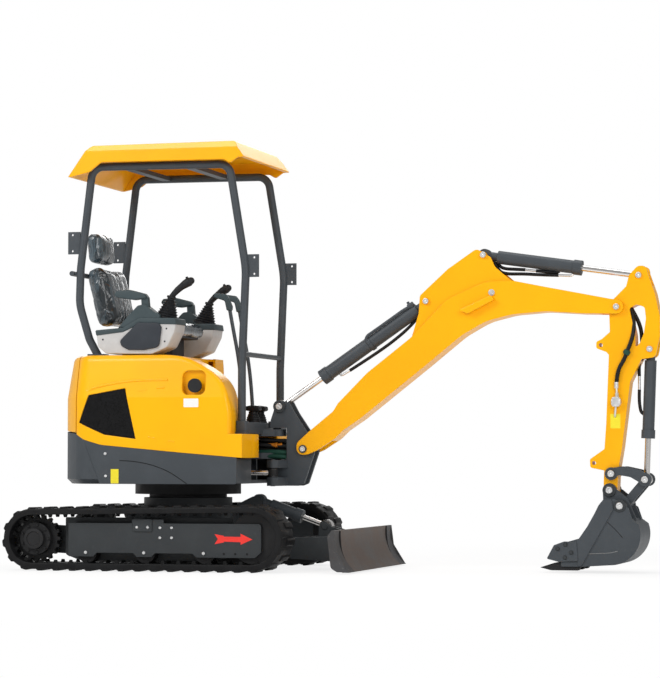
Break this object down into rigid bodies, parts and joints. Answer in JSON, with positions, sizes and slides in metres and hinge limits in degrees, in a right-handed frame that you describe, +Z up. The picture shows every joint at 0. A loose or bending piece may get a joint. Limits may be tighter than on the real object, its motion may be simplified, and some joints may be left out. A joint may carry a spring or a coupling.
{
  "type": "mini excavator",
  "caption": "Tracked mini excavator with canopy, open seat, swing boom, arm, digging bucket and dozer blade, on rubber tracks.",
  "frame": {"origin": "on the ground, under the middle of the whole machine's box with the boom straight ahead", "axes": "+X forward along the tracks and boom, +Y to the machine's left, +Z up"},
  "size_m": [3.5286, 1.25, 2.3425],
  "materials": {
    "black_mesh": "black mesh",
    "black_plastic": "grained black",
    "blade_steel": "worn dark paint",
    "cast_steel": "dark cast",
    "chrome_rod": "polished",
    "dark_grey_paint": "satin dark grey paint",
    "light_grey_plastic": "moulded light grey",
    "orange_paint": "gloss orange yellow",
    "orange_roof": "gloss orange yellow",
    "rubber_track": "ribbed black rubber",
    "seat_cover": "black vinyl",
    "undercarriage_black": "satin black paint",
    "yellow_cover": "gloss yellow",
    "yellow_paint": "gloss yellow"
  },
  "bodies": {
    "undercarriage": {"lower_frame": "undercarriage_black", "track_frame_right": "undercarriage_black", "track_frame_left": "undercarriage_black", "track_right": "rubber_track", "track_left": "rubber_track", "sprocket_right": "cast_steel", "sprocket_left": "cast_steel", "rollers_right": "cast_steel", "rollers_left": "cast_steel"},
    "house": {"turntable": "cast_steel", "counterweight": "dark_grey_paint", "side_skirts": "dark_grey_paint", "house_frame": "dark_grey_paint", "side_cover_left": "yellow_cover", "side_grille": "black_mesh", "side_cover_right": "yellow_cover", "fuel_cap": "black_plastic", "seat_deck": "yellow_cover", "engine_block": "cast_steel", "console_right": "light_grey_plastic", "console_left": "light_grey_plastic", "seat_base": "black_plastic", "seat_cushion": "seat_cover", "seat_back": "seat_cover", "armrests": "black_plastic", "joysticks": "black_plastic", "travel_levers": "dark_grey_paint", "canopy_hoops": "dark_grey_paint", "canopy_bars": "dark_grey_paint", "canopy_roof": "orange_roof"},
    "rear_hood": {"rear_hood": "yellow_cover"},
    "swing_bracket": {"swing_bracket": "dark_grey_paint"},
    "swing_barrel": {"swing_cylinder_barrel": "dark_grey_paint"},
    "swing_rod": {"swing_cylinder_rod": "chrome_rod"},
    "boom": {"boom": "yellow_paint"},
    "boom_barrel": {"boom_cylinder_barrel": "dark_grey_paint"},
    "boom_rod": {"boom_cylinder_rod": "chrome_rod"},
    "arm_barrel": {"arm_cylinder_barrel": "dark_grey_paint"},
    "arm_rod": {"arm_cylinder_rod": "chrome_rod"},
    "arm": {"arm": "orange_paint"},
    "bucket_barrel": {"bucket_cylinder_barrel": "dark_grey_paint"},
    "bucket_rod": {"bucket_cylinder_rod": "chrome_rod"},
    "guide_link": {"guide_links": "dark_grey_paint"},
    "h_link": {"h_link": "dark_grey_paint"},
    "bucket": {"bucket": "dark_grey_paint", "bucket_teeth": "cast_steel"},
    "blade": {"dozer_blade": "blade_steel", "blade_ends": "blade_steel", "blade_arms": "undercarriage_black"},
    "blade_barrel": {"blade_cylinder_barrel": "dark_grey_paint"},
    "blade_rod": {"blade_cylinder_rod": "chrome_rod"}
  },
  "joints": [
    {"name": "slew", "type": "hinge", "parent": "undercarriage", "child": "house", "pos_m": [-0.89974, 0, 0.39254], "axis": [0, 0, 1], "continuous": true},
    {"name": "rear_hood_lift", "type": "hinge", "parent": "house", "child": "rear_hood", "pos_m": [-1.35474, 0, 1.16854], "axis": [0, 1, 0], "range_deg": [0, 55]},
    {"name": "boom_swing", "type": "hinge", "parent": "house", "child": "swing_bracket", "pos_m": [-0.37974, 0, 0.60654], "axis": [0, 0, 1], "range_deg": [-50, 75]},
    {"name": "swing_cylinder_turn", "type": "hinge", "parent": "house", "child": "swing_barrel", "pos_m": [-0.95974, -0.2, 0.53154], "axis": [0, 0, 1], "range_deg": [-2.82, 3.98]},
    {"name": "swing_cylinder_slide", "type": "slide", "parent": "swing_barrel", "child": "swing_rod", "axis": [0.995, 0.1, 0], "range_m": [-0.112, 0.1669]},
    {"name": "boom_lift", "type": "hinge", "parent": "swing_bracket", "child": "boom", "pos_m": [-0.21074, 0, 0.66154], "axis": [0, -1, 0], "range_deg": [-58, 42]},
    {"name": "boom_cylinder_turn", "type": "hinge", "parent": "boom", "child": "boom_barrel", "pos_m": [0.48426, 0, 1.46754], "axis": [0, -1, 0], "range_deg": [-1.17, 1.43]},
    {"name": "boom_cylinder_slide", "type": "slide", "parent": "boom_barrel", "child": "boom_rod", "axis": [-0.8255, 0, -0.5645], "range_m": [-0.1768, 0.2434]},
    {"name": "arm_swing", "type": "hinge", "parent": "boom", "child": "arm", "pos_m": [1.53426, 0, 1.42154], "axis": [0, -1, 0], "range_deg": [-41, 60]},
    {"name": "arm_cylinder_turn", "type": "hinge", "parent": "boom", "child": "arm_barrel", "pos_m": [0.80426, 0, 1.71454], "axis": [0, -1, 0], "range_deg": [-3.41, 4.75]},
    {"name": "arm_cylinder_slide", "type": "slide", "parent": "arm_barrel", "child": "arm_rod", "axis": [0.9895, 0, -0.1449], "range_m": [-0.1932, 0.1327]},
    {"name": "bucket_curl", "type": "hinge", "parent": "arm", "child": "bucket", "pos_m": [1.49526, 0, 0.44054], "axis": [0, -1, 0], "range_deg": [-85, 82]},
    {"name": "guide_link_turn", "type": "hinge", "parent": "arm", "child": "guide_link", "pos_m": [1.50126, 0, 0.52854], "axis": [0, -1, 0], "range_deg": [-56.64, 54.66]},
    {"name": "h_link_turn", "type": "hinge", "parent": "bucket", "child": "h_link", "pos_m": [1.56326, 0, 0.35854], "axis": [0, -1, 0], "range_deg": [-44.26, 45.86]},
    {"name": "bucket_cylinder_turn", "type": "hinge", "parent": "arm", "child": "bucket_barrel", "pos_m": [1.70926, 0, 1.19454], "axis": [0, -1, 0], "range_deg": [-0.68, 0.68]},
    {"name": "bucket_cylinder_slide", "type": "slide", "parent": "bucket_barrel", "child": "bucket_rod", "axis": [-0.0387, 0, -0.9993], "range_m": [-0.1592, 0.1649]},
    {"name": "blade_lift", "type": "hinge", "parent": "undercarriage", "child": "blade", "pos_m": [-0.49974, 0, 0.15054], "axis": [0, -1, 0], "range_deg": [-20, 22]},
    {"name": "blade_cylinder_turn", "type": "hinge", "parent": "undercarriage", "child": "blade_barrel", "pos_m": [-0.47974, 0, 0.37554], "axis": [0, -1, 0], "range_deg": [-17.88, 19.62]},
    {"name": "blade_cylinder_slide", "type": "slide", "parent": "blade_barrel", "child": "blade_rod", "axis": [0.9409, 0, -0.3388], "range_m": [-0.0847, 0.0772]}
  ],
  "couplings": [
    {"joint": "swing_cylinder_turn", "follows": "boom_swing", "ratio": 0.04641},
    {"joint": "swing_cylinder_slide", "follows": "boom_swing", "m_per_rad": 0.126},
    {"joint": "boom_cylinder_turn", "follows": "boom_lift", "ratio": -0.01603},
    {"joint": "boom_cylinder_slide", "follows": "boom_lift", "m_per_rad": -0.23845},
    {"joint": "arm_cylinder_turn", "follows": "arm_swing", "ratio": 0.07089},
    {"joint": "arm_cylinder_slide", "follows": "arm_swing", "m_per_rad": -0.18262},
    {"joint": "guide_link_turn", "follows": "bucket_curl", "ratio": 0.6605},
    {"joint": "h_link_turn", "follows": "bucket_curl", "ratio": -0.53362},
    {"joint": "bucket_cylinder_turn", "follows": "bucket_curl", "ratio": -0.00217},
    {"joint": "bucket_cylinder_slide", "follows": "bucket_curl", "m_per_rad": -0.10981},
    {"joint": "blade_cylinder_turn", "follows": "blade_lift", "ratio": 0.8691},
    {"joint": "blade_cylinder_slide", "follows": "blade_lift", "m_per_rad": -0.2153}
  ]
}
